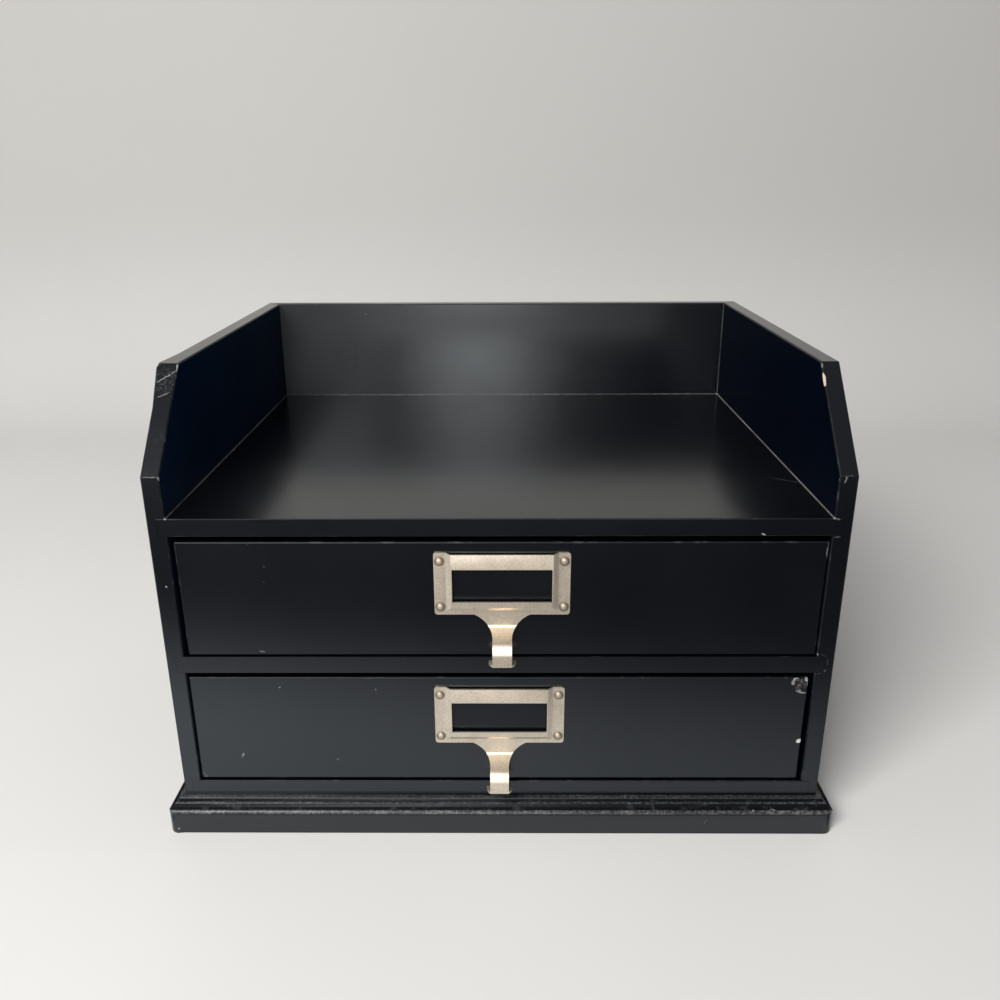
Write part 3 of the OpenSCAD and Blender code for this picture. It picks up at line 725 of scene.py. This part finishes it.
def board(node, body, neighbours, materials, bared, usual=EDGE_ROUND):
    """A board with its free edges rounded and its joints left sharp. It replaces the CAD node."""
    others = [tree_of(n) for n in neighbours if n != node]
    bm = bmesh.new()
    bm.from_mesh(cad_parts[node].data)
    tidy_mesh(bm)
    if node == "left_side_panel":
        swell_corner(bm)
    elif node.endswith("front"):
        fit_front(bm, node)
    weight = bm.edges.layers.float.new("bevel_weight_edge")
    for edge in bm.edges:
        if is_sharp(edge) and edge.calc_length() > LEAST_EDGE:
            edge[weight] = edge_rounding(edge, node, others, usual) / NOSE_ROUND
    if len(materials) == 3:
        takes_second = second_paint(node)
        for face in bm.faces:
            face.material_index = int(takes_second(face))
    piece = new_piece(node + "_painted", bm, materials)
    bevel = piece.modifiers.new("rounding", "BEVEL")
    bevel.limit_method = "WEIGHT"
    bevel.width = NOSE_ROUND
    bevel.segments = ROUND_STEPS
    bevel.use_clamp_overlap = False
    bevel.material = len(materials) - 1
    if node in CHIPS:
        cut_chips(piece, CHIPS[node], bared)
    even_shading(piece)
    stand_for(piece, node, body)


# Height of the bar over a pull's window, how far its upper edge leans back and sinks, the sheet's
# thickness, the length of the finger lip's end and how far it hangs lower, the rounding of the sheet's cut
# edges and its steps, and the turn under which the sheet is smooth
PULL_BAR_H = 8.0 * MM
PULL_BAR_LEAN = 0.70 * MM
PULL_BAR_SINK = 0.85 * MM
PULL_SHEET_T = 1.0 * MM
LIP_END_H = 9.0 * MM
LIP_DROP = 0.7 * MM
PULL_ROUND = 0.22 * MM
PULL_ROUND_STEPS = 2
PULL_SMOOTH_ANGLE = math.radians(11)


def lean_bar(bm, node, body):
    """Leans the upper bar of a pull's raised middle back towards the drawer, and lowers its edge."""
    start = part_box(node)[1].z - PULL_BAR_H
    raised_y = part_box(body + "_front")[0].y - 1.5 * PULL_SHEET_T
    everything = bm.verts[:] + bm.edges[:] + bm.faces[:]
    bmesh.ops.bisect_plane(bm, geom=everything, plane_co=(0, 0, start), plane_no=(0, 0, 1))
    for vert in bm.verts:
        if vert.co.z > start and vert.co.y < raised_y:
            share = (vert.co.z - start) / PULL_BAR_H
            vert.co.y += PULL_BAR_LEAN * share
            vert.co.z -= PULL_BAR_SINK * share


def drop_lip(bm, node):
    """Lets the end of a pull's finger lip hang a little lower."""
    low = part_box(node)[0].z
    for vert in bm.verts:
        if vert.co.z < low + LIP_END_H:
            vert.co.z -= LIP_DROP


def pull(node, body, material):
    """A pull of sheet metal with its cut edges broken. It replaces the CAD node."""
    bm = bmesh.new()
    bm.from_mesh(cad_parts[node].data)
    tidy_mesh(bm)
    lean_bar(bm, node, body)
    drop_lip(bm, node)
    piece = new_piece(node + "_plated", bm, (material,))
    bevel = piece.modifiers.new("broken edges", "BEVEL")
    bevel.limit_method = "ANGLE"
    bevel.angle_limit = SMOOTH_ANGLE
    bevel.width = PULL_ROUND
    bevel.segments = PULL_ROUND_STEPS
    freeze(piece)
    drop_empty_faces(piece.data)
    piece.data.set_sharp_from_angle(angle=PULL_SMOOTH_ANGLE)
    stand_for(piece, node, body)


def dress(node, material):
    """Gives a CAD node that stays a new material."""
    mesh_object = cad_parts[node]
    mesh_object.data.materials.clear()
    mesh_object.data.materials.append(material)


def case_finishes():
    """Paints of each of the case's boards: its faces, in some boards a part of them, and its edges."""
    face, edge = paints("case_paint", marks=CASE_MARKS, scuffs=CASE_SCUFFS, dust=joint_dust)
    finishes = dict.fromkeys(RAILS, (face, edge))
    # The walls' inner faces take the black paint with a painted cast of cool light
    for side, tones in (("left", LEFT_PAINT_AND_COOL_LIGHT), ("right", RIGHT_PAINT_AND_COOL_LIGHT)):
        inner = paint(side + "_inner_paint_and_cool_light", tones=tones, dust=joint_dust, ior=INNER_IOR)
        finishes[side + "_side_panel"] = (face, inner, edge)
    finishes["back_panel"] = paints("back_paint", dull=-0.02, marks=CASE_MARKS, dust=joint_dust,
                                    haze=back_haze, ior=BACK_IOR)
    face, edge = paints("base_paint", dull=0.05, marks=BASE_MARKS)
    # The moulding's paint carries dust on its ribs, and dust with a painted sheen on its nose
    moulding = paint("moulding_paint", dull=0.10, marks=BASE_MARKS, dust=moulding_dust, ior=MOULDING_IOR)
    finishes["base_board"] = (face, moulding, edge)
    return finishes


def build_case(bared, hardware):
    """The case's boards, with its screws and brads."""
    finishes = case_finishes()
    for node in CASE_BOARDS:
        usual = RAIL_ROUND if node in RAILS else EDGE_ROUND
        board(node, "case", CASE_BOARDS, finishes[node], bared, usual=usual)
    for node in ("base_screws", "case_brads"):
        dress(node, hardware)


def build_drawer(drawer, front_finish, inside, floor_finish, bared, hardware):
    """A drawer's boards and pull, with its pins and brads."""
    body = drawer + "_drawer"
    floor = body + "_floor"
    pins = drawer + "_pull_pins"
    boards = [f"{body}_{part}" for part in DRAWER_BOARDS]
    for node in boards:
        finish = front_finish if node.endswith("front") else inside
        board(node, body, boards + [floor], finish, bared)
    board(floor, body, boards, (floor_finish,), bared, BLUNT_ROUND)
    pull(drawer + "_pull", body, nickel(drawer + "_pull_nickel", PULL_ROUGH, pins, PULL_SHADE_RING))
    dress(pins, nickel(drawer + "_pin_nickel", PIN_ROUGH, pins, PIN_SHADE_RING, PIN_STAIN))
    dress(body + "_brads", hardware)


def build_object():
    bared = {finish.__name__: finish(finish.__name__) for finish in (bare_board, crushed_board, broken_paint)}
    hardware = steel("zinc_steel")
    build_case(bared, hardware)
    window = paint("window_paint", dull=0.10, ior=WINDOW_IOR)
    inside = paints("inside_paint", dull=0.12)
    floor_finish = hardboard("drawer_hardboard")
    for drawer, marks in FRONT_MARKS.items():
        face, edge = paints(drawer + "_front_paint", marks=marks)
        build_drawer(drawer, (face, window, edge), inside, floor_finish, bared, hardware)


# Camera at the photograph's place: lens and sensor in millimetres, nearest sight, position and turns
LENS = 32.68
SENSOR_W = 36.0
NEAREST = 0.01
CAMERA_AT = (0.0042, -0.5185, 0.3249)
CAMERA_PITCH = math.radians(19.87)
CAMERA_YAW = math.radians(0.51)
CAMERA_ROLL = math.radians(-0.27)


def add_camera():
    data = bpy.data.cameras.new("camera")
    data.lens = LENS
    data.sensor_width = SENSOR_W
    data.clip_start = NEAREST
    camera = bpy.data.objects.new("camera", data)
    bpy.context.scene.collection.objects.link(camera)
    turn = (Matrix.Rotation(CAMERA_YAW, 4, "Z") @ Matrix.Rotation(math.pi / 2 - CAMERA_PITCH, 4, "X")
            @ Matrix.Rotation(CAMERA_ROLL, 4, "Z"))
    camera.matrix_world = Matrix.Translation(CAMERA_AT) @ turn
    bpy.context.scene.camera = camera


def add_light(name, at, aim, size, power, colour):
    data = bpy.data.lights.new(name, "AREA")
    data.shape = "RECTANGLE"
    data.size, data.size_y = size
    data.energy = power
    data.color = colour
    lamp = bpy.data.objects.new(name, data)
    bpy.context.scene.collection.objects.link(lamp)
    lamp.location = at
    lamp.rotation_euler = (Vector(aim) - Vector(at)).to_track_quat("-Z", "Y").to_euler()
    return lamp


# The studio's sweep of floor, cove and wall, in metres, with the tones of floor and wall and the heights
# between which one turns into the other
FLOOR_FRONT_Y = -2.5
COVE_START_Y = 0.62
COVE_R = 0.35
WALL_TOP_Z = 2.2
SWEEP_HALF_W = 2.5
COVE_STEPS = 16
FLOOR_TONES = (0.81, 0.805, 0.795), (0.85, 0.845, 0.835)
WALL_TONES = (0.63, 0.62, 0.60), (0.66, 0.65, 0.63)
WALL_FROM = (0.0, 0.30)


def add_sweep():
    profile = [(FLOOR_FRONT_Y, 0.0)]
    for i in range(COVE_STEPS + 1):
        a = math.pi / 2 * i / COVE_STEPS
        profile.append((COVE_START_Y + COVE_R * math.sin(a), COVE_R * (1 - math.cos(a))))
    profile.append((COVE_START_Y + COVE_R, WALL_TOP_Z))
    bm = bmesh.new()
    rows = [[bm.verts.new((x, y, z)) for y, z in profile] for x in (-SWEEP_HALF_W, SWEEP_HALF_W)]
    for i in range(len(profile) - 1):
        bm.faces.new((rows[0][i], rows[1][i], rows[1][i + 1], rows[0][i + 1]))
    t = Tree("pale_sweep")
    cloud = t.noise(0.25, detail=3)
    height = t.axes(t.where)[2]
    colour = t.mix(t.fade(height, *WALL_FROM), t.mix(cloud, *FLOOR_TONES), t.mix(cloud, *WALL_TONES))
    new_piece("sweep", bm, (t.finish(colour, t.span(cloud, 0.7, 0.8)),))


# The card on the floor ahead of the object, which only shiny surfaces see: a painted shadow over the floor in
# the object's reflections, pale near the case with a painted fall of light from left to right. Its reach
# ahead of the case, where it turns from pale to black, how far that line moves away per metre to the left,
# its half width and height, its pale tones from left to right and the places between which they change, and
# its dark tones
CARD_REACH = (0.02, 0.90)
CARD_SHADE_FADE = (0.050, 0.230)
CARD_SKEW = 0.142
CARD_HALF_W = 0.6
CARD_Z = 2 * MM
CARD_LIT_TONES = (0.90, 0.93, 0.97), (0.61, 0.635, 0.67)
CARD_LIT_X = (-0.22, 0.22)
CARD_SHADE_TONES = (0.010, 0.010, 0.011), (0.016, 0.016, 0.017)


def add_reflected_shade_card():
    bm = bmesh.new()
    near, far = (CASE_FRONT_Y - reach for reach in CARD_REACH)
    corners = [(-CARD_HALF_W, far), (CARD_HALF_W, far), (CARD_HALF_W, near), (-CARD_HALF_W, near)]
    bm.faces.new([bm.verts.new((x, y, CARD_Z)) for x, y in corners])
    t = Tree("reflected_shade_card")
    cloud = t.noise(0.1)
    x, y, _ = t.axes(t.where)
    pale = t.mix(t.fade(x, *CARD_LIT_X), *CARD_LIT_TONES)
    ahead = t.calc("MULTIPLY_ADD", x, CARD_SKEW, t.calc("SUBTRACT", CASE_FRONT_Y, y))
    # Painted shadow: black beyond a graded line, painted light on the part nearer the case
    colour = t.mix(t.fade(ahead, *CARD_SHADE_FADE), pale, t.mix(cloud, *CARD_SHADE_TONES))
    card = new_piece("reflected_shade_card", bm, (t.finish(colour, t.span(cloud, 0.8, 0.9)),))
    card.visible_camera = False
    card.visible_diffuse = False
    card.visible_shadow = False
    card.visible_transmission = False


# Lamps, in metres and watts: a soft key from the left, and two panels far ahead of the object
WARM = (1.0, 0.985, 0.96)
COOL = (0.70, 0.82, 1.0)
KEY = {"at": (-0.82, -1.38, 1.30), "aim": (0.0, -0.10, 0.1), "size": (1.0, 0.8),
       "power": 43.0, "colour": WARM}
STRIP = {"at": (-0.11, -2.45, 0.575), "aim": (-0.11, 0.13, 0.575), "size": (0.34, 1.15),
         "power": 13.3, "colour": WARM}
LEFT_GLOW = {"at": (-0.80, -2.45, 0.50), "aim": (-0.80, 0.13, 0.50), "size": (0.36, 1.00),
             "power": 1.6, "colour": COOL}
# Light from all around: colour and strength
WORLD_COLOUR = (0.90, 0.91, 0.93, 1.0)
WORLD_LEVEL = 0.23


def add_world():
    world = bpy.data.worlds.new("studio")
    world.use_nodes = True
    background = world.node_tree.nodes["Background"]
    background.inputs["Color"].default_value = WORLD_COLOUR
    background.inputs["Strength"].default_value = WORLD_LEVEL
    bpy.context.scene.world = world


def add_lamps():
    """The key, and the panels, which show only in the object's shine."""
    add_light("key", **KEY)
    for name, panel in (("strip", STRIP), ("left_glow", LEFT_GLOW)):
        add_light(name, **panel).visible_diffuse = False


def build_stage():
    bpy.context.scene.view_settings.view_transform = "Standard"
    add_camera()
    add_sweep()
    add_reflected_shade_card()
    add_world()
    add_lamps()


build_object()
build_stage()
